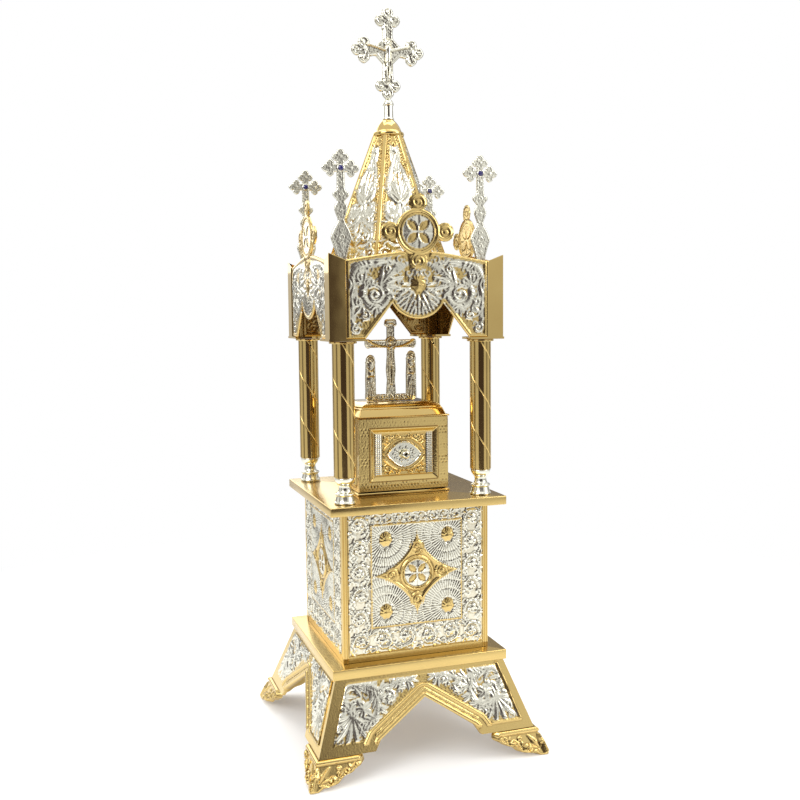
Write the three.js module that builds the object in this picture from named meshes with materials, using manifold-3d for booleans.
// An altar tabernacle of gilt and silvered brass: a splayed skirt on cast feet, a square case with
// repousse panels, four columns round a small ark with a drawer, and a canopy with a six-sided spire.
// Millimetres, +Z up. The origin is on the ground under the middle, and the front faces -Y.
import * as THREE from 'three';
import { mergeVertices } from 'three/addons/utils/BufferGeometryUtils.js';
import Module from 'manifold-3d';

const wasm = await Module();
wasm.setup();

// Driving dimensions: clearance between pieces that touch
const gap = 0.3;

// Driving dimensions: case and slabs
const caseHalf = 72;
const caseHeight = 140.2;
const caseWall = 2;
const cornerStripWidth = 5.2;
const cornerStripThickness = 1.4;
const plinthBandHeight = 6;
const plinthBandInset = 0.4;
const panelThickness = 1.2;
const panelRelief = 2.4;
const rayHeight = 1.2;
const slabOverhang = 13.5;
const lowerSlabThickness = 9.3;
const upperSlabThickness = 8.2;
const slabChamfer = 0.6;

// Driving dimensions: skirt and feet
const skirtHeight = 61.7;
const skirtTopInset = 2.6;
const skirtSpread = 21.9;
const skirtWall = 3;
const archRise = 38.4;
const archKneeHalf = 46.5;
const archKneeRise = 8.3;
const archFootHalf = 52;
const footHeight = 24.1;
const footSpread = 10.4;
const footWall = 5;
const footWing = 39;
const footLip = 1.2;

// Driving dimensions: columns
const columnInset = 18.6;
const columnRadius = 10;
const columnSides = 16;
const columnWall = 1.6;
const columnHeight = 123.2;
const columnCollarReach = 2.6;
const columnCollarHeight = 2;
const columnFootHeight = 24.5;
const pinHoleRadius = 1;
const pinHoleDrop = 7;

// Driving dimensions: ark, drawer and figures
const arkColumnClearance = 11.9;
const arkDepthShare = 0.845;
const arkHeight = 70.2;
const arkWall = 2;
const arkPlateThickness = 2.2;
const arkPlateReach = 1.5;
const drawerFrontThickness = 2;
const drawerFrontGap = 1.1;
const drawerPlay = 1;
const drawerWall = 1.5;
const drawerTrayHeight = 52;
const drawerStripHalf = 3.2;
const drawerStripRise = 0.9;
const drawerBadgeRise = 1.1;
const knobLength = 6.5;
const knobRadius = 4.4;
const roofPlateThickness = 1.6;
const roofHeight = 13;
const roofTopInset = 10;
const figureGroupHeight = 80;
const figureGroupWidth = 53;
const figureGroupThickness = 3.6;

// Driving dimensions: canopy
const canopyReach = 16.4;
const canopyHeight = 69.5;
const canopyCornerPeak = 6;
const canopyCornerWidth = 15.6;
const canopySheet = 1.2;
const gussetThickness = 1.6;
const gussetReach = 33.3;
const valanceThickness = 1.2;
const valanceRelief = 2.2;
const crestRadius = 20.5;
const crestRise = 25.5;
const roofDeckDrop = 9.5;
const roofDeckThickness = 2;

// Driving dimensions: spire, finials and top cross
const spireHeight = 131.4;
const spireTopRadius = 14.9;
const spireBaseRadius = 65.4;
const spireWall = 1.6;
const spireEdgeWidth = 5;
const spireRibRise = 0.8;
const capHeight = 15.6;
const socketHeight = 19;
const socketRadius = 5.2;
const topCrossHeight = 86.5;
const topCrossThickness = 4;
const finialHeight = 107.5;
const finialThickness = 2.6;
const stoneRadius = 2.6;

// Levels and half widths that follow from the dimensions above
const slabHalf = caseHalf + slabOverhang;
const skirtTopHalf = slabHalf - skirtTopInset;
const skirtBottomHalf = skirtTopHalf + skirtSpread;
const footTipHalf = skirtBottomHalf + footSpread;
const skirtZ = footHeight;
const lowerSlabZ = skirtZ + skirtHeight;
const caseZ = lowerSlabZ + lowerSlabThickness;
const upperSlabZ = caseZ + caseHeight;
const floorZ = upperSlabZ + upperSlabThickness;
const columnCentre = slabHalf - columnInset;
const columnZ = floorZ + columnFootHeight;
const gussetZ = columnZ + columnHeight;
const valanceZ = gussetZ + gussetThickness + gap;
const canopyHalf = columnCentre + canopyReach;
const valanceGround = canopyHalf - canopySheet - gap;
const deckZ = valanceZ + canopyHeight - roofDeckDrop - roofDeckThickness;
const spireZ = deckZ + roofDeckThickness + gap;
const capZ = spireZ + spireHeight + gap;
const socketZ = capZ + capHeight + gap;
const topCrossZ = socketZ + socketHeight + gap;
const arkHalfWidth = columnCentre - columnRadius - arkColumnClearance;
const arkHalfDepth = arkHalfWidth * arkDepthShare;
const arkZ = floorZ + gap + arkPlateThickness;
const arkTopZ = arkZ + gap + arkHeight;
const roofZ = arkTopZ + gap;
const figureZ = roofZ + roofHeight + gap;

// Finishes
const finishes = {
  polishedGold: { color: 0xe2b45c, roughness: 0.16, metalness: 1 },
  satinGold: { color: 0xd9b062, roughness: 0.34, metalness: 1 },
  silver: { color: 0xdcdcd6, roughness: 0.22, metalness: 1 },
  blueStone: { color: 0x1b1f7a, roughness: 0.08, metalness: 0 },
};

const tabernacle = new THREE.Group();

// Turns a closed geometry into a solid that can be cut and joined
function solidOf(geometry) {
  const plain = geometry.clone();
  for (const name of Object.keys(plain.attributes)) {
    if (name !== 'position') plain.deleteAttribute(name);
  }
  const merged = mergeVertices(plain, 1e-4);
  return new wasm.Manifold(new wasm.Mesh({
    numProp: 3,
    vertProperties: new Float32Array(merged.attributes.position.array),
    triVerts: new Uint32Array(merged.index.array),
  }));
}

// Joins a list of solids two by two
function join(solids) {
  let row = solids;
  while (row.length > 1) {
    const next = [];
    for (let i = 0; i < row.length; i += 2) {
      next.push(i + 1 < row.length ? row[i].add(row[i + 1]) : row[i]);
    }
    row = next;
  }
  return row[0];
}

// Gives a solid's faces back as a geometry
function geometryOf(solid) {
  const mesh = solid.getMesh();
  const geometry = new THREE.BufferGeometry();
  geometry.setAttribute('position', new THREE.BufferAttribute(new Float32Array(mesh.vertProperties), 3));
  geometry.setIndex(new THREE.BufferAttribute(new Uint32Array(mesh.triVerts), 1));
  return geometry;
}

function addPiece(name, shape, finish, place = new THREE.Matrix4()) {
  const geometry = shape.isBufferGeometry ? shape.clone() : geometryOf(shape);
  geometry.applyMatrix4(place);
  const mesh = new THREE.Mesh(geometry, new THREE.MeshStandardMaterial(finishes[finish]));
  mesh.name = name;
  tabernacle.add(mesh);
}

function move(x, y, z) {
  return new THREE.Matrix4().makeTranslation(x, y, z);
}

function turn(quarter) {
  return new THREE.Matrix4().makeRotationZ(quarter * Math.PI / 2);
}

// A closed body through rings of points; it is capped at both ends or closed into a loop
function loft(rings, loop = false) {
  const count = rings[0].length;
  const positions = rings.flat(2);
  const faces = [];
  const last = loop ? rings.length : rings.length - 1;
  for (let i = 0; i < last; i += 1) {
    const lower = i * count;
    const upper = ((i + 1) % rings.length) * count;
    for (let k = 0; k < count; k += 1) {
      const next = (k + 1) % count;
      faces.push([lower + k, lower + next, upper + next]);
      faces.push([lower + k, upper + next, upper + k]);
    }
  }
  if (!loop) {
    const top = (rings.length - 1) * count;
    for (let k = 1; k < count - 1; k += 1) {
      faces.push([0, k + 1, k]);
      faces.push([top, top + k, top + k + 1]);
    }
  }
  const corner = (index) => new THREE.Vector3().fromArray(positions, index * 3);
  let volume = 0;
  for (const [a, b, c] of faces) {
    volume += corner(a).dot(corner(b).cross(corner(c)));
  }
  const outward = volume > 0 ? faces : faces.map(([a, b, c]) => [a, c, b]);
  const geometry = new THREE.BufferGeometry();
  geometry.setAttribute('position', new THREE.Float32BufferAttribute(positions, 3));
  geometry.setIndex(outward.flat());
  return geometry;
}

// A four-sided body from [half width, half depth, height] rows
function rectangleLoft(rows) {
  return loft(rows.map(([x, y, z]) => [[-x, -y, z], [x, -y, z], [x, y, z], [-x, y, z]]));
}

function squareLoft(rows) {
  return rectangleLoft(rows.map(([half, z]) => [half, half, z]));
}

// A box from two opposite corners
function block(low, high) {
  const box = new THREE.BoxGeometry(high[0] - low[0], high[1] - low[1], high[2] - low[2]);
  return box.translate((low[0] + high[0]) / 2, (low[1] + high[1]) / 2, (low[2] + high[2]) / 2);
}

// A flat plate in the XZ plane from its outline; its front is at y = front and its back behind that
function plate(outline, front, thickness) {
  const shape = new THREE.Shape(outline.map(([x, z]) => new THREE.Vector2(x, z)));
  const body = new THREE.ExtrudeGeometry(shape, { depth: thickness, bevelEnabled: false, curveSegments: 8 });
  return body.rotateX(Math.PI / 2).translate(0, front + thickness, 0);
}

function rectangle(half, low, high, middle = 0) {
  return [[middle - half, low], [middle + half, low], [middle + half, high], [middle - half, high]];
}

// A closed outline from its right half, whose points on the middle line aren't repeated
function mirrored(half) {
  const other = half.filter(([x]) => Math.abs(x) > 1e-6).map(([x, z]) => [-x, z]);
  return half.concat(other.reverse());
}

function arcPoints(cx, cz, radius, from, to, steps) {
  return Array.from({ length: steps + 1 }, (_, i) => {
    const angle = from + (to - from) * i / steps;
    return [cx + radius * Math.cos(angle), cz + radius * Math.sin(angle)];
  });
}

// Raised work on a plate whose ground is y = 0 and whose back is behind it.
// Raised forms reach this far into the plate, and their widest line lies just under its ground.
const sink = 0.5;
const seat = 0.12;
const sharpestMitre = 0.6;

// A line with a sharp crest along a path of [x, z] points
function ridge(path, width, height, loop = false) {
  const count = path.length;
  const rings = path.map(([x, z], i) => {
    const before = path[loop ? (i + count - 1) % count : Math.max(i - 1, 0)];
    const after = path[loop ? (i + 1) % count : Math.min(i + 1, count - 1)];
    const into = new THREE.Vector2(x - before[0], z - before[1]).normalize();
    const out = new THREE.Vector2(after[0] - x, after[1] - z).normalize();
    const along = into.clone().add(out).normalize();
    const reach = width / 2 / Math.max(along.dot(into), along.dot(out), sharpestMitre);
    const side = [-along.y * reach, along.x * reach];
    return [[x + side[0], sink, z + side[1]], [x - side[0], sink, z - side[1]], [x, -height, z]];
  });
  return solidOf(loft(rings, loop));
}

function ringRidge(cx, cz, radius, width, height, steps) {
  const path = arcPoints(cx, cz, radius, 0, 2 * Math.PI * (steps - 1) / steps, steps - 1);
  return ridge(path, width, height, true);
}

// Keeps the back half of a raised form inside its plate
function sunk(geometry) {
  const position = geometry.attributes.position;
  for (let i = 0; i < position.count; i += 1) {
    position.setY(i, Math.min(position.getY(i), sink));
  }
  return geometry;
}

// A leaf or feather: a lozenge with a raised middle
function leaf(cx, cz, angle, length, width, height) {
  const body = new THREE.OctahedronGeometry(1).scale(length / 2, height, width / 2);
  return solidOf(sunk(body.rotateY(-angle).translate(cx, seat, cz)));
}

function boss(cx, cz, halfWidth, halfHeight, height) {
  const body = new THREE.IcosahedronGeometry(1, 0).scale(halfWidth, height, halfHeight);
  return solidOf(sunk(body.translate(cx, seat, cz)));
}

// Leaves that spread round a point
function spray(cx, cz, from, to, count, inner, length, width, height) {
  return Array.from({ length: count }, (_, i) => {
    const angle = from + (to - from) * i / Math.max(count - 1, 1);
    const reach = inner + length / 2;
    return leaf(cx + reach * Math.cos(angle), cz + reach * Math.sin(angle), angle, length, width, height);
  });
}

// A scroll that winds inwards from its outer radius
function scroll(cx, cz, radius, start, turns, width, height, steps) {
  const path = Array.from({ length: steps + 1 }, (_, i) => {
    const t = i / steps;
    const angle = start + turns * 2 * Math.PI * t;
    const reach = radius * (1 - 0.72 * t);
    return [cx + reach * Math.cos(angle), cz + reach * Math.sin(angle)];
  });
  return ridge(path, width, height);
}

// The medallion of a ring with four scroll circles and a four-petalled cross
function medallion(cx, cz, radius, reach, scrollRadius, height) {
  const parts = [ringRidge(cx, cz, radius * 0.86, radius * 0.28, height, 12)];
  for (let i = 0; i < 4; i += 1) {
    const angle = i * Math.PI / 2;
    const x = cx + reach * Math.cos(angle);
    const z = cz + reach * Math.sin(angle);
    parts.push(leaf(x, z, angle, scrollRadius * 1.9, scrollRadius * 1.9, height));
    parts.push(...spray(cx, cz, angle, angle, 1, radius * 0.08, radius * 0.6, radius * 0.42, height * 0.6));
  }
  return parts;
}

// Splayed skirt
function skirtFace() {
  const slope = Math.hypot(skirtHeight, skirtSpread);
  const rise = slope / skirtHeight;
  const apex = archRise * rise;
  const band = slope * 0.13;
  const edge = (s) => skirtBottomHalf - skirtSpread * s / slope - band * 1.05;
  const borderFoot = archFootHalf + band;
  const top = slope * 0.95;
  const lines = [];
  for (const side of [-1, 1]) {
    const frame = [
      [side * edge(top), top], [side * edge(band), band],
      [side * borderFoot, band], [side * 1.5, apex + slope * 0.25],
    ];
    lines.push(ridge(frame, 2.2, 1));
    const cx = side * skirtBottomHalf * 0.57;
    const cz = slope * 0.63;
    lines.push(scroll(cx, cz, slope * 0.2, side > 0 ? Math.PI : 0, side * -0.85, 4, panelRelief, 5));
    const fan = side > 0 ? [-0.3, -1.5] : [Math.PI + 0.3, Math.PI + 1.5];
    lines.push(...spray(cx, cz - 2, fan[0], fan[1], 3, slope * 0.2, slope * 0.32, 5, panelRelief));
    const topLeaf = [side * skirtBottomHalf * 0.29, slope * 0.86];
    lines.push(leaf(...topLeaf, -side * 0.35, slope * 0.32, 5, panelRelief));
  }
  const tilt = Math.atan2(skirtSpread, skirtHeight);
  const place = new THREE.Matrix4().makeRotationX(-tilt).premultiply(move(0, -skirtBottomHalf, skirtZ));
  return join(lines).transform(place.elements);
}

function buildSkirt() {
  const spreadPerZ = skirtSpread / skirtHeight;
  const wallAcross = skirtWall * Math.hypot(1, spreadPerZ);
  const outer = solidOf(squareLoft([
    [skirtBottomHalf, skirtZ], [skirtTopHalf, lowerSlabZ - gap],
  ]));
  const inner = solidOf(squareLoft([
    [skirtBottomHalf - wallAcross + spreadPerZ, skirtZ - 1],
    [skirtTopHalf - wallAcross - spreadPerZ, lowerSlabZ - gap + 1],
  ]));
  const arch = mirrored([
    [archFootHalf, skirtZ - 1], [archFootHalf, skirtZ],
    [archKneeHalf, skirtZ + archKneeRise], [0, skirtZ + archRise],
  ]);
  const through = solidOf(plate(arch, -footTipHalf, 2 * footTipHalf));
  let body = outer;
  for (let i = 0; i < 4; i += 1) {
    body = body.add(skirtFace().transform(turn(i).elements));
  }
  const above = solidOf(block(
    [-footTipHalf, -footTipHalf, lowerSlabZ - gap], [footTipHalf, footTipHalf, caseZ],
  ));
  body = body.subtract(above).subtract(inner).subtract(through);
  return body.subtract(through.transform(turn(1).elements));
}

// Cast corner feet: two leafy wings that carry on the skirt's slope down to a tip
function buildFoot() {
  const spreadPerZ = footSpread / footHeight;
  const wallAcross = footWall * Math.hypot(1, spreadPerZ);
  const topZ = footHeight - gap;
  const halfAt = (z) => footTipHalf - spreadPerZ * z;
  const outer = solidOf(squareLoft([[footTipHalf, 0], [halfAt(topZ), topZ]]));
  const lipZ = footHeight * 0.82;
  const lip = solidOf(squareLoft([
    [halfAt(lipZ), lipZ], [halfAt(lipZ) + footLip, lipZ + footHeight * 0.05],
    [halfAt(topZ) + footLip, topZ - footHeight * 0.03], [halfAt(topZ) + footLip / 2, topZ],
  ]));
  const inner = solidOf(squareLoft([
    [footTipHalf - wallAcross + spreadPerZ, -1], [halfAt(topZ) - wallAcross - spreadPerZ, topZ + 1],
  ]));
  const wingEnd = skirtBottomHalf - footWing;
  const outline = [
    [-footTipHalf - 5, -1], [-footTipHalf + 8, -1], [-footTipHalf + 8, 0],
    [-footTipHalf + 14, footHeight * 0.14], [-wingEnd - footWing * 0.56, footHeight * 0.2],
    [-wingEnd - footWing * 0.36, footHeight * 0.42], [-wingEnd - footWing * 0.14, footHeight * 0.56],
    [-wingEnd, footHeight * 0.78], [-wingEnd, footHeight * 0.9],
    [-wingEnd - footWing * 0.05, footHeight + 1], [-footTipHalf - 5, footHeight + 1],
  ];
  const reach = footTipHalf - halfAt(footHeight) + wallAcross + 2;
  const wing = solidOf(plate(outline, -footTipHalf - 5, reach + 5));
  const tilt = Math.atan2(footSpread, footHeight);
  const place = new THREE.Matrix4().makeRotationX(-tilt).premultiply(move(0, -footTipHalf, 0));
  const middle = -skirtBottomHalf + footWing * 0.24;
  const leaves = join([
    ...spray(middle, footHeight * 0.3, 0.1, 0.9, 2, 2, footWing * 0.36, footHeight * 0.26, 1.4),
    leaf(-wingEnd - footWing * 0.13, footHeight * 0.7, 0.5, 6, 5, 1.4),
  ]).transform(place.elements);
  const front = wing.add(leaves);
  const side = front.mirror([1, -1, 0]);
  const corner = block([-footTipHalf - 9, -footTipHalf - 9, 0], [-wingEnd + 2, -wingEnd + 2, topZ]);
  const shell = outer.add(lip).subtract(inner);
  const wings = wing.add(wing.mirror([1, -1, 0])).intersect(shell);
  const relief = leaves.add(side.intersect(leaves.mirror([1, -1, 0])));
  return wings.add(relief.subtract(inner)).intersect(solidOf(corner));
}

// Case: four sheet walls with a plain plinth band, and panels and corner angles on them
const sheetHalf = caseHalf - cornerStripThickness - gap;
const panelHalf = caseHalf - cornerStripWidth - gap;
const panelBase = caseZ + gap + plinthBandHeight + gap;
const panelTop = upperSlabZ - gap;

function buildCase() {
  const bottom = caseZ + gap;
  const walls = solidOf(block([-sheetHalf, -sheetHalf, bottom], [sheetHalf, sheetHalf, panelTop]));
  const bandFront = caseHalf - plinthBandInset;
  const band = join([0, 1].map((quarter) => solidOf(block(
    [-panelHalf, -bandFront, bottom], [panelHalf, bandFront, bottom + plinthBandHeight],
  )).transform(turn(quarter).elements)));
  const hollowHalf = sheetHalf - caseWall;
  const hollow = solidOf(block(
    [-hollowHalf, -hollowHalf, bottom - 1], [hollowHalf, hollowHalf, panelTop + 1],
  ));
  return walls.add(band).subtract(hollow);
}

function buildCornerStrip() {
  const inner = caseHalf - cornerStripThickness;
  const bottom = caseZ + gap;
  const wing = caseHalf - cornerStripWidth;
  const outer = block([-caseHalf, -caseHalf, bottom], [-wing, -wing, panelTop]);
  const notch = block([-inner, -inner, bottom - 1], [0, 0, panelTop + 1]);
  return solidOf(outer).subtract(solidOf(notch));
}

// Repousse panel: a scrolled border, a thin frame, rays from four heads and the star medallion
function buildPanel() {
  const height = panelTop - panelBase;
  const half = panelHalf;
  const ground = plate([[-half, 0], [half, 0], [half, height], [-half, height]], 0, panelThickness);
  const frameHalf = half * 0.665;
  const frameLow = height * 0.19;
  const frameHigh = height * 0.91;
  const centre = (frameLow + frameHigh) / 2;
  const starWide = half * 0.63;
  const starTall = half * 0.575;
  const frame = rectangle(frameHalf, frameLow, frameHigh);
  const parts = [solidOf(ground), ridge(frame, 2.4, panelRelief * 0.5, true)];
  const notch = half * 0.25;
  const star = mirrored([
    [0, centre + starTall], [notch, centre + notch], [starWide, centre], [notch, centre - notch],
    [0, centre - starTall],
  ]);
  parts.push(solidOf(plate(star, -panelRelief * 0.35, panelRelief * 0.35 + sink)));
  parts.push(...medallion(0, centre, half * 0.26, half * 0.385, half * 0.112, panelRelief));
  for (const sx of [-1, 1]) {
    for (const sz of [-1, 1]) {
      const hx = sx * frameHalf * 0.7;
      const hz = centre + sz * (frameHigh - frameLow) * 0.355;
      parts.push(boss(hx, hz, half * 0.1, half * 0.13, panelRelief));
      const middle = Math.atan2(-sz, -sx);
      const [inner, length, width] = [half * 0.15, half * 0.18, half * 0.06];
      parts.push(...spray(hx, hz, middle - 0.8, middle + 0.8, 2, inner, length, width, rayHeight));
    }
  }
  const sideX = (half + frameHalf) / 2;
  const curlRadius = half * 0.125;
  for (const side of [-1, 1]) {
    for (let i = 0; i < 3; i += 1) {
      const z = height * (0.25 + 0.28 * i);
      const lean = Math.PI / 2 + 0.5 * side;
      const [start, turns] = i % 2 ? [Math.PI / 2, -side * 0.8] : [-Math.PI / 2, side * 0.8];
      parts.push(scroll(side * sideX, z, curlRadius, start, turns, 3, panelRelief, 4));
      parts.push(leaf(side * sideX, z + height * 0.14, lean, half * 0.2, 4, panelRelief));
    }
  }
  for (let i = 0; i < 3; i += 1) {
    const x = half * 0.56 * (i - 1);
    const [start, turns] = [i % 2 ? Math.PI : 0, i < 2 ? 0.8 : -0.8];
    parts.push(scroll(x, height * 0.09, curlRadius, start, turns, 3, panelRelief, 4));
    parts.push(leaf(x, (frameHigh + height) / 2, 0, half * 0.4, 4, panelRelief));
  }
  return join(parts);
}

// Column foot: a turned baluster
function buildColumnFoot() {
  const height = columnFootHeight - gap;
  const shares = [
    [1, 0], [0.98, 0.08], [0.79, 0.3], [0.91, 0.38], [0.57, 0.62], [0.59, 0.7], [0.92, 1],
  ];
  const points = [new THREE.Vector2(0, 0)];
  for (const [r, z] of shares) {
    points.push(new THREE.Vector2(r * columnRadius, z * height));
  }
  points.push(new THREE.Vector2(0, height));
  const lathe = new THREE.LatheGeometry(points, 12);
  return solidOf(lathe.rotateX(Math.PI / 2).translate(0, 0, floorZ + gap));
}

// Column: a tube with a collar at its head and a pin hole on its inner side
function tube(radius, low, high, sides) {
  const body = new THREE.CylinderGeometry(radius, radius, high - low, sides);
  return solidOf(body.rotateX(Math.PI / 2).translate(0, 0, (low + high) / 2));
}

function buildColumn(innerSide) {
  const low = columnZ + gap;
  const high = gussetZ - gap;
  const collarZ = high - columnCollarHeight;
  const shaft = tube(columnRadius, low, collarZ + 0.5, columnSides);
  const collar = tube(columnRadius + columnCollarReach, collarZ, high, columnSides);
  const bore = tube(columnRadius - columnWall, low - 1, high + 1, 12);
  const hole = new THREE.CylinderGeometry(pinHoleRadius, pinHoleRadius, columnRadius * 1.2, 6);
  hole.translate(0, innerSide * columnRadius * 0.9, collarZ - pinHoleDrop / 2);
  return shaft.add(collar).subtract(bore).subtract(solidOf(hole));
}

// Ark: a base plate, a case open to the front, the drawer with its knob, and a stepped roof
function buildArkPlate() {
  const x = arkHalfWidth + arkPlateReach;
  const y = arkHalfDepth + arkPlateReach;
  const z = floorZ + gap;
  return rectangleLoft([[x, y, z], [x, y, z + arkPlateThickness * 0.8],
    [x - 0.5, y - 0.5, z + arkPlateThickness]]);
}

const caseFront = -arkHalfDepth + drawerFrontThickness + gap;
const arkInnerHalf = arkHalfWidth - arkWall;

function buildArkCase() {
  const low = arkZ + gap;
  const body = solidOf(block([-arkHalfWidth, caseFront, low], [arkHalfWidth, arkHalfDepth, arkTopZ]));
  const inner = solidOf(block(
    [-arkInnerHalf, caseFront - 1, low - 1], [arkInnerHalf, arkHalfDepth - arkWall, arkTopZ - arkWall],
  ));
  const depthMiddle = (caseFront + arkHalfDepth) / 2;
  const frameX = (arkHalfDepth - caseFront) * 0.36;
  const frameLow = arkHeight * 0.14;
  const frameHigh = arkHeight * 0.83;
  const frame = rectangle(frameX, frameLow, frameHigh);
  const moulding = ridge(frame, 4, 1.6, true);
  const sideFrames = [-1, 1].map((side) => {
    const place = new THREE.Matrix4().makeRotationZ(side * Math.PI / 2);
    place.premultiply(move(side * arkHalfWidth, depthMiddle, low));
    return moulding.transform(place.elements);
  });
  return body.add(join(sideFrames)).subtract(inner);
}

function buildDrawer() {
  const low = arkZ + gap + drawerFrontGap;
  const high = arkTopZ - gap;
  const front = solidOf(block(
    [-arkHalfWidth, -arkHalfDepth, low], [arkHalfWidth, -arkHalfDepth + drawerFrontThickness, high],
  ));
  const trayHalf = arkInnerHalf - drawerPlay;
  const trayBack = arkHalfDepth - arkWall - drawerPlay;
  const trayLow = arkZ + gap + drawerFrontGap;
  const trayHigh = trayLow + drawerTrayHeight;
  const tray = solidOf(block(
    [-trayHalf, -arkHalfDepth + drawerFrontThickness - 0.5, trayLow], [trayHalf, trayBack, trayHigh],
  ));
  const hollow = solidOf(block(
    [-trayHalf + drawerWall, -arkHalfDepth + drawerFrontThickness, trayLow + drawerWall],
    [trayHalf - drawerWall, trayBack - drawerWall, trayHigh + 1],
  ));
  const frameX = arkHalfWidth * 0.7;
  const frameLow = (high - low) * 0.2;
  const frameHigh = (high - low) * 0.8;
  const middle = (frameLow + frameHigh) / 2;
  const frame = rectangle(frameX, frameLow, frameHigh);
  const relief = [ridge(frame, 4.4, 2.2, true)];
  const stripX = frameX * 0.83;
  for (const side of [-1, 1]) {
    const strip = rectangle(drawerStripHalf, frameLow + 2, frameHigh - 2, side * stripX);
    relief.push(solidOf(plate(strip, -drawerStripRise, drawerStripRise + sink)));
  }
  const [offset, radius, sweep] = [arkHalfWidth * 0.155, arkHalfWidth * 0.43, 0.37];
  const almond = arcPoints(0, middle - offset, radius, sweep, Math.PI - sweep, 8);
  const lower = arcPoints(0, middle + offset, radius, Math.PI + sweep, 2 * Math.PI - sweep, 8);
  const badge = plate(almond.concat(lower.slice(1, -1)), -drawerBadgeRise, drawerBadgeRise + sink);
  relief.push(solidOf(badge));
  for (const sx of [-1, 1]) {
    for (const sz of [-1, 1]) {
      relief.push(leaf(sx * arkHalfWidth * 0.37, middle + sz * arkHalfWidth * 0.3, -sx * sz * 0.6,
        arkHalfWidth * 0.3, 4, 1));
    }
  }
  const face = join(relief).transform(move(0, -arkHalfDepth, low).elements);
  return front.add(tray).subtract(hollow).add(face);
}

function buildKnob() {
  const middle = arkZ + gap + drawerFrontGap + (arkHeight - drawerFrontGap - gap) * 0.5;
  const shares = [[0.5, 0], [0.42, 0.35], [0.95, 0.5], [1, 0.7], [0.62, 0.95], [0.2, 1]];
  const points = [new THREE.Vector2(0, 0)];
  for (const [r, y] of shares) {
    points.push(new THREE.Vector2(r * knobRadius, y * knobLength));
  }
  points.push(new THREE.Vector2(0, knobLength));
  const lathe = new THREE.LatheGeometry(points, 10).rotateX(Math.PI);
  return lathe.translate(0, -arkHalfDepth - drawerBadgeRise - gap, middle);
}

function buildArkRoof() {
  const row = (inset, z) => [arkHalfWidth - inset, arkHalfDepth - inset, roofZ + z];
  const step = roofHeight * 0.62;
  const body = solidOf(rectangleLoft([
    row(-arkPlateReach, 0), row(-arkPlateReach, roofPlateThickness), row(2.6, roofPlateThickness),
    row(3, step * 0.7), row(4.6, step), row(6.2, step * 1.04), row(7, roofHeight * 0.84),
    row(roofTopInset, roofHeight),
  ]));
  const hollow = solidOf(rectangleLoft([
    row(arkWall + 3, -1), row(arkWall + 3, roofPlateThickness),
    row(arkWall + 6.5, step * 0.9), row(arkWall + roofTopInset, roofHeight - arkWall),
  ]));
  return body.subtract(hollow);
}

// Crucifixion group, cast in one piece: a cross with its figure and two standing figures on one base
function standingFigure(x, height, base) {
  const rings = [[4.2, 2.6, 0], [4, 2.5, 0.45], [4.4, 2.7, 0.7], [1.7, 1.5, 0.85]];
  const body = loft(rings.map(([rx, ry, share]) => arcPoints(0, 0, 1, 0, 1.75 * Math.PI, 7)
    .map(([c, s]) => [x + c * rx, s * ry, base + share * height])));
  const head = new THREE.IcosahedronGeometry(1, 0).scale(3.6, 2.3, 4).translate(x, 0, base + height * 0.91);
  const arms = new THREE.OctahedronGeometry(1).scale(3.4, 1.6, 2.2).translate(x, -2.2, base + height * 0.66);
  return [solidOf(body), solidOf(head), solidOf(arms)];
}

function buildFigureGroup() {
  const half = figureGroupThickness / 2;
  const height = figureGroupHeight;
  const baseHeight = height * 0.05;
  const armZ = height * 0.7;
  const armHalf = figureGroupWidth / 2;
  const parts = [
    block([-armHalf * 0.92, -half * 1.6, 0], [armHalf * 0.92, half * 1.6, baseHeight]),
    block([-3.4, -half * 0.7, baseHeight - 1], [3.4, half * 0.7, height * 0.94]),
    block([-armHalf, -half * 0.7, armZ - 3.4], [armHalf, half * 0.7, armZ + 3.2]),
    block([-5.6, -half * 0.8, height * 0.93], [5.6, half * 0.8, height]),
  ].map(solidOf);
  const mound = new THREE.CylinderGeometry(4.6, 7.4, height * 0.09, 8).rotateX(Math.PI / 2);
  parts.push(solidOf(mound.scale(1, 0.42, 1).translate(0, 0, baseHeight + height * 0.04)));
  const halo = new THREE.CylinderGeometry(5.6, 5.6, half * 1.8, 8);
  parts.push(solidOf(halo.translate(0, 0, armZ + height * 0.005)));
  const body = [[2.2, 1.4, 0.16], [3.3, 2, 0.46], [2.6, 1.8, 0.56], [3.6, 2, 0.65]];
  const rings = body.map(([rx, ry, share]) => arcPoints(0, 0, 1, 0, 1.7 * Math.PI, 6)
    .map(([c, s]) => [c * rx, s * ry - half, share * height]));
  parts.push(solidOf(loft(rings)));
  const head = new THREE.IcosahedronGeometry(1, 0).scale(2.6, 2.4, 3.2).translate(0, -half * 1.5, armZ);
  parts.push(solidOf(head));
  for (const side of [-1, 1]) {
    const arm = [0, 0.5, 1].map((t) => arcPoints(0, 0, 1, 0, 1.6 * Math.PI, 4)
      .map(([c, s]) => [
        side * (2 + t * (armHalf - 5)), c * 1.3 - half * 0.8, armZ - 3 + 4 * t * t + s * (1.7 - 0.5 * t),
      ]));
    parts.push(solidOf(loft(arm)));
    parts.push(...standingFigure(side * armHalf * 0.8, height * (side > 0 ? 0.58 : 0.54), baseHeight - 0.5));
  }
  return join(parts).transform(move(0, 0, figureZ).elements);
}

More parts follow.
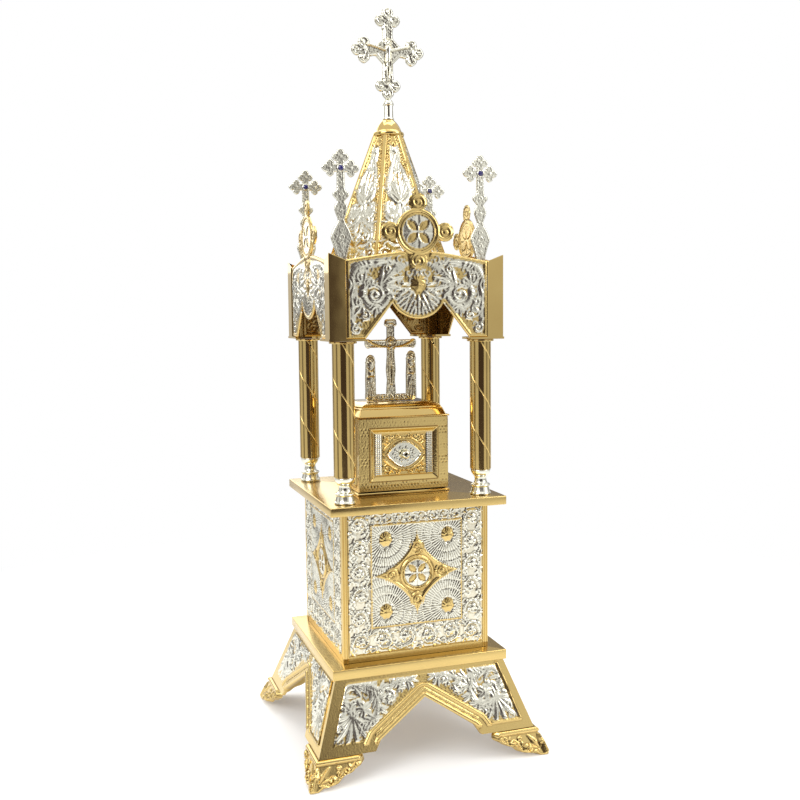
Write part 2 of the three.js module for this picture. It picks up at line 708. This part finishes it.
// Canopy corner: a polished angle with a rising top edge, and the gusset that sits on the column
function buildCanopyCorner() {
  const low = gussetZ;
  const innerX = -canopyHalf + canopyCornerWidth;
  const top = valanceZ + canopyHeight;
  const wing = (x) => [
    [-canopyHalf, low], [x, low], [x, top], [-canopyHalf, top + canopyCornerPeak],
  ];
  const front = solidOf(plate(wing(innerX), -canopyHalf, canopySheet));
  const gussetRadius = gussetReach / 2;
  const round = -canopyHalf + gussetReach - gussetRadius;
  const gussetOutline = [
    [-canopyHalf, -canopyHalf], [round + gussetRadius, -canopyHalf],
    ...arcPoints(round, round, gussetRadius, 0, Math.PI / 2, 6), [-canopyHalf, round + gussetRadius],
  ];
  const shape = new THREE.Shape(gussetOutline.map(([x, y]) => new THREE.Vector2(x, y)));
  const gusset = new THREE.ExtrudeGeometry(shape, { depth: gussetThickness, bevelEnabled: false });
  return join([front, front.mirror([1, -1, 0]), solidOf(gusset.translate(0, 0, low))]);
}

// Valance: an arched repousse panel with a pendant between two notches, under its crest medallion
function buildValance() {
  const half = canopyHalf - canopySheet - gap - valanceThickness - gap;
  const height = canopyHeight;
  const open = canopyHalf - canopyCornerWidth;
  const legInner = open * 0.735;
  const notchX = open * 0.355;
  const notchZ = height * 0.462;
  const pendantRadius = open * 0.42;
  const pendantZ = notchZ - 1.6 + Math.sqrt(pendantRadius ** 2 - notchX ** 2);
  const crestZ = height + crestRise;
  const sweep = Math.atan2(pendantZ - notchZ + 1.6, notchX);
  const pendant = arcPoints(0, pendantZ, pendantRadius, -sweep, -Math.PI / 2, 3);
  const crestFrom = Math.asin((height + 8 - crestZ) / crestRadius);
  const scrollReach = crestRadius * 1.27;
  const curl = crestRadius * 0.42;
  const crest = [
    [0, crestZ + scrollReach + curl],
    ...arcPoints(0, crestZ + scrollReach, curl, 1.1, -0.6, 2),
    ...arcPoints(0, crestZ, crestRadius, 1.1, 0.5, 1),
    ...arcPoints(scrollReach, crestZ, curl, 2.2, -2.2, 4),
    ...arcPoints(0, crestZ, crestRadius, -0.5, crestFrom, 2),
  ];
  const outline = mirrored([
    ...crest, [open * 0.47, height + 6], [open * 0.72, height + 3.2], [open, height],
    [half, height], [half, 0], [legInner, 0], [notchX, notchZ], ...pendant.slice(1, -1),
    [0, pendantZ - pendantRadius],
  ]);
  const parts = [solidOf(plate(outline, 0, valanceThickness))];
  parts.push(...medallion(0, crestZ, crestRadius, scrollReach, crestRadius * 0.39, valanceRelief));
  const rimPendant = arcPoints(0, pendantZ, pendantRadius - 3, -sweep, -Math.PI + sweep, 6);
  parts.push(ridge(rimPendant, 2.4, 1.2));
  parts.push(boss(0, pendantZ + 1, 5.2, 6.5, valanceRelief + 0.6));
  parts.push(...spray(0, pendantZ, -2.5, -0.64, 4, 7.5, pendantRadius * 0.5, 5.4, valanceRelief));
  const rim = [
    [open * 0.3, height + 7], [open * 0.72, height + 0.5], [open - 2, height - 3],
    [open - 2, 2.5], [legInner + 2, 2.5], [notchX, notchZ + 4],
  ];
  for (const side of [-1, 1]) {
    parts.push(ridge(rim.map(([x, z]) => [side * x, z]), 2.2, 1.2));
    const cx = side * open * 0.6;
    const cz = height * 0.66;
    parts.push(scroll(cx, cz, open * 0.22, side > 0 ? -1 : Math.PI + 1, side * 0.85, 4, valanceRelief, 5));
    const out = side > 0 ? 0 : Math.PI;
    const [from, to] = [out + side * 0.7, out - side * 1.2];
    parts.push(...spray(cx, cz, from, to, 3, open * 0.22, open * 0.15, 5, valanceRelief));
    parts.push(leaf(side * open * 0.86, height * 0.16, Math.PI / 2, height * 0.22, 5, valanceRelief));
    parts.push(leaf(side * open * 0.3, height * 0.84, side * 0.5, open * 0.34, 5, valanceRelief));
  }
  return join(parts).transform(move(0, -valanceGround, valanceZ).elements);
}

function buildDeck() {
  const half = valanceGround - valanceThickness - gap;
  return block([-half, -half, deckZ], [half, half, deckZ + roofDeckThickness]);
}

// Spire: a hollow six-sided pyramid with edge strips and a pointed leaf on each face
function hexagon(radius, z) {
  return arcPoints(0, 0, radius, 0, 5 * Math.PI / 3, 5).map(([x, y]) => [x, y, z]);
}

function buildSpire() {
  const top = spireZ + spireHeight;
  const outer = solidOf(loft([hexagon(spireBaseRadius, spireZ), hexagon(spireTopRadius, top)]));
  const thin = spireWall / Math.cos(Math.PI / 6);
  const taper = (spireBaseRadius - spireTopRadius) / spireHeight;
  const inner = solidOf(loft([
    hexagon(spireBaseRadius - thin + taper, spireZ - 1), hexagon(spireTopRadius - thin - taper, top + 1),
  ]));
  const apothemBase = spireBaseRadius * Math.cos(Math.PI / 6);
  const apothemTop = spireTopRadius * Math.cos(Math.PI / 6);
  const slope = Math.hypot(spireHeight, apothemBase - apothemTop);
  const halfAt = (s) => (spireBaseRadius + (spireTopRadius - spireBaseRadius) * s / slope) / 2;
  const face = [
    leaf(0, slope * 0.68, Math.PI / 2, slope * 0.42, halfAt(slope * 0.68) * 0.66, panelRelief),
    ...spray(0, slope * 0.16, 0.45, Math.PI - 0.45, 3, slope * 0.06, slope * 0.2, 7, panelRelief),
  ];
  const tilt = Math.atan2(apothemBase - apothemTop, spireHeight);
  const lean = new THREE.Matrix4().makeRotationX(-tilt).premultiply(move(0, -apothemBase, spireZ));
  const relief = join(face).transform(lean.elements);
  let body = outer;
  for (let i = 0; i < 6; i += 1) {
    body = body.add(relief.transform(new THREE.Matrix4().makeRotationZ(i * Math.PI / 3).elements));
  }
  const ribHalf = spireEdgeWidth / 2;
  const rib = solidOf(loft([[spireBaseRadius, spireZ], [spireTopRadius, top]].map(([radius, z]) => [
    [radius + spireRibRise, 0, z], [radius - 1, ribHalf, z], [radius - 1, -ribHalf, z],
  ])));
  for (let i = 0; i < 6; i += 1) {
    body = body.add(rib.transform(new THREE.Matrix4().makeRotationZ(i * Math.PI / 3).elements));
  }
  const room = 2 * spireBaseRadius;
  const below = solidOf(block([-room, -room, spireZ - 9], [room, room, spireZ]));
  const above = solidOf(block([-room, -room, top], [room, room, top + 9]));
  return body.subtract(inner).subtract(below).subtract(above);
}

function turned(shares, radius, height, sides, z) {
  const points = [new THREE.Vector2(0, 0)];
  for (const [r, share] of shares) {
    points.push(new THREE.Vector2(r * radius, share * height));
  }
  points.push(new THREE.Vector2(0, height));
  return new THREE.LatheGeometry(points, sides).rotateX(Math.PI / 2).translate(0, 0, z);
}

function buildCap() {
  const shares = [[1, 0], [1.02, 0.1], [0.98, 0.24], [0.82, 0.3], [0.78, 0.5], [0.66, 0.75], [0.4, 1]];
  return turned(shares, spireTopRadius, capHeight, 16, capZ);
}

function buildSocket() {
  const shares = [[1.1, 0], [1, 0.1], [0.92, 0.7], [1.05, 0.78], [0.9, 0.95], [0.6, 1]];
  return turned(shares, socketRadius, socketHeight, 12, socketZ);
}

// Half the outline of an arm with a three-lobed end, from its lower side to its tip.
// The arm runs along +X from the crossing; reach is the middle of the lobes and size their spread.
function armOutline(reach, bar, size) {
  return [
    [bar, -bar], [reach - size, -bar], [reach - size * 0.8, -size * 0.96], [reach - size * 0.1, -size],
    [reach + size * 0.1, -size * 0.45], [reach + size * 0.8, -size * 0.45], [reach + size, 0],
  ];
}

// The whole arm, turned by quarter turns and moved up
function fullArm(reach, bar, size, quarter, z) {
  const half = armOutline(reach, bar, size);
  const back = half.slice(1, -1).reverse().map(([x, y]) => [x, -y]);
  const [c, s] = [[1, 0], [0, 1], [-1, 0], [0, -1]][quarter];
  return half.concat(back).map(([x, y]) => [x * c - y * s, z + x * s + y * c]);
}

function buildTopCross() {
  const height = topCrossHeight;
  const front = -topCrossThickness / 2;
  const size = height * 0.15;
  const bar = height * 0.05;
  const centre = height * 0.525;
  const armReach = height * 0.272;
  const outline = [
    ...fullArm(armReach, bar, size, 0, 0), ...fullArm(height * 0.33, bar, size, 1, 0),
    ...fullArm(armReach, bar, size, 2, 0), ...fullArm(height * 0.37, bar, size, 3, 0),
  ];
  const parts = [solidOf(plate(outline, front, topCrossThickness))];
  const lozenge = [[height * 0.2, 0], [0, height * 0.2], [-height * 0.2, 0], [0, -height * 0.2]];
  parts.push(solidOf(plate(lozenge, front * 0.6, topCrossThickness * 0.6)));
  const footing = rectangle(height * 0.045, -height * 0.525, -height * 0.395);
  parts.push(solidOf(plate(footing, front, topCrossThickness)));
  const limb = (x, z, angle, length, width) => solidOf(
    new THREE.OctahedronGeometry(1).scale(length / 2, 2.2, width / 2).rotateY(-angle).translate(x, front, z),
  );
  parts.push(limb(0, -height * 0.1, Math.PI / 2, height * 0.42, height * 0.085));
  parts.push(limb(0, height * 0.02, Math.PI / 2, height * 0.2, height * 0.11));
  for (const side of [-1, 1]) {
    parts.push(limb(side * height * 0.13, height * 0.03, side * 0.2, height * 0.28, height * 0.05));
  }
  const head = new THREE.IcosahedronGeometry(1, 0).scale(3.2, 2.6, 3.8).translate(0, front, height * 0.115);
  parts.push(solidOf(head));
  const body = join(parts).transform(move(0, 0, centre).elements);
  const low = solidOf(block([-height, -9, 0], [height, 9, height]));
  return body.intersect(low).transform(move(0, 0, topCrossZ).elements);
}

// Corner finial: a flat cast spike with a lozenge, a bulb, a two-lobed knop and a budded cross
const crossShare = 0.84;

function finialOutline() {
  const spike = [
    [0.045, 0], [0.045, 0.12], [0.082, 0.27], [0.018, 0.42], [0.046, 0.5], [0.03, 0.55],
    [0.03, 0.575], [0.06, 0.605], [0.05, 0.64], [0.026, 0.66],
  ].map(([x, z]) => [x * finialHeight, z * finialHeight]);
  const bar = finialHeight * 0.026;
  const reach = finialHeight * 0.102;
  const size = finialHeight * 0.058;
  const z = crossShare * finialHeight;
  const left = [...spike].reverse().map(([x, y]) => [-x, y]);
  return [
    ...spike, ...fullArm(reach, bar, size, 0, z), ...fullArm(reach, bar, size, 1, z),
    ...fullArm(reach, bar, size, 2, z), ...left,
  ];
}

const finialZ = deckZ + roofDeckThickness + gap;
const stoneZ = finialZ + finialHeight * crossShare;

function buildFinial() {
  const front = -finialThickness / 2;
  const raised = [
    leaf(0, finialHeight * 0.26, Math.PI / 2, finialHeight * 0.24, finialHeight * 0.1, 1.2),
    leaf(0, finialHeight * 0.5, Math.PI / 2, finialHeight * 0.07, finialHeight * 0.06, 1),
  ].map((form) => form.transform(move(0, front, 0).elements));
  return join([solidOf(plate(finialOutline(), front, finialThickness)), ...raised])
    .transform(move(0, 0, finialZ).elements);
}

function buildStone() {
  const points = [[0, 0], [1, 0], [0.7, 0.5], [0, 0.68]]
    .map(([r, y]) => new THREE.Vector2(r * stoneRadius, y * stoneRadius));
  const lathe = new THREE.LatheGeometry(points, 8);
  return lathe.rotateX(Math.PI).translate(0, -finialThickness / 2 - gap, stoneZ);
}

// Assembly
const sides = ['front', 'right', 'back', 'left'];
const corners = ['front_left', 'front_right', 'back_right', 'back_left'];
const cornerSigns = [[-1, -1], [1, -1], [1, 1], [-1, 1]];

addPiece('splayed_skirt', buildSkirt(), 'polishedGold');
const foot = buildFoot();
const cornerStrip = buildCornerStrip();
const canopyCorner = buildCanopyCorner();
const panel = buildPanel();
const valance = buildValance();
const columnFoot = buildColumnFoot();
const finial = buildFinial();
const stone = buildStone();

const slab = (z, thickness) => squareLoft([
  [slabHalf - slabChamfer, z], [slabHalf, z + slabChamfer],
  [slabHalf, z + thickness - slabChamfer], [slabHalf - slabChamfer, z + thickness],
]);
addPiece('lower_slab', slab(lowerSlabZ, lowerSlabThickness), 'satinGold');
addPiece('case', buildCase(), 'satinGold');
addPiece('upper_slab', slab(upperSlabZ, upperSlabThickness), 'satinGold');

corners.forEach((corner, i) => {
  const [sx, sy] = cornerSigns[i];
  addPiece(`foot_${corner}`, foot, 'polishedGold', turn(i));
  addPiece(`corner_strip_${corner}`, cornerStrip, 'polishedGold', turn(i));
  addPiece(`canopy_corner_${corner}`, canopyCorner, 'polishedGold', turn(i));
  const place = move(sx * columnCentre, sy * columnCentre, 0);
  addPiece(`column_foot_${corner}`, columnFoot, 'silver', place);
  addPiece(`column_${corner}`, buildColumn(-sy), 'polishedGold', place);
  addPiece(`finial_${corner}`, finial, 'silver', place);
  addPiece(`blue_stone_${corner}`, stone, 'blueStone', place);
});

sides.forEach((side, i) => {
  const panelPlace = turn(i).multiply(move(0, -sheetHalf - gap - panelThickness, panelBase));
  addPiece(`panel_${side}`, panel, 'silver', panelPlace);
  addPiece(`valance_${side}`, valance, 'silver', turn(i));
});

addPiece('ark_base_plate', buildArkPlate(), 'polishedGold');
addPiece('ark_case', buildArkCase(), 'polishedGold');
addPiece('ark_roof', buildArkRoof(), 'polishedGold');
addPiece('drawer', buildDrawer(), 'polishedGold');
addPiece('drawer_knob', buildKnob(), 'silver');
addPiece('crucifixion_group', buildFigureGroup(), 'silver');
addPiece('canopy_deck', buildDeck(), 'satinGold');
addPiece('spire', buildSpire(), 'polishedGold');
addPiece('spire_cap', buildCap(), 'polishedGold');
addPiece('cross_socket', buildSocket(), 'silver');
addPiece('top_cross', buildTopCross(), 'silver');

export default tabernacle;
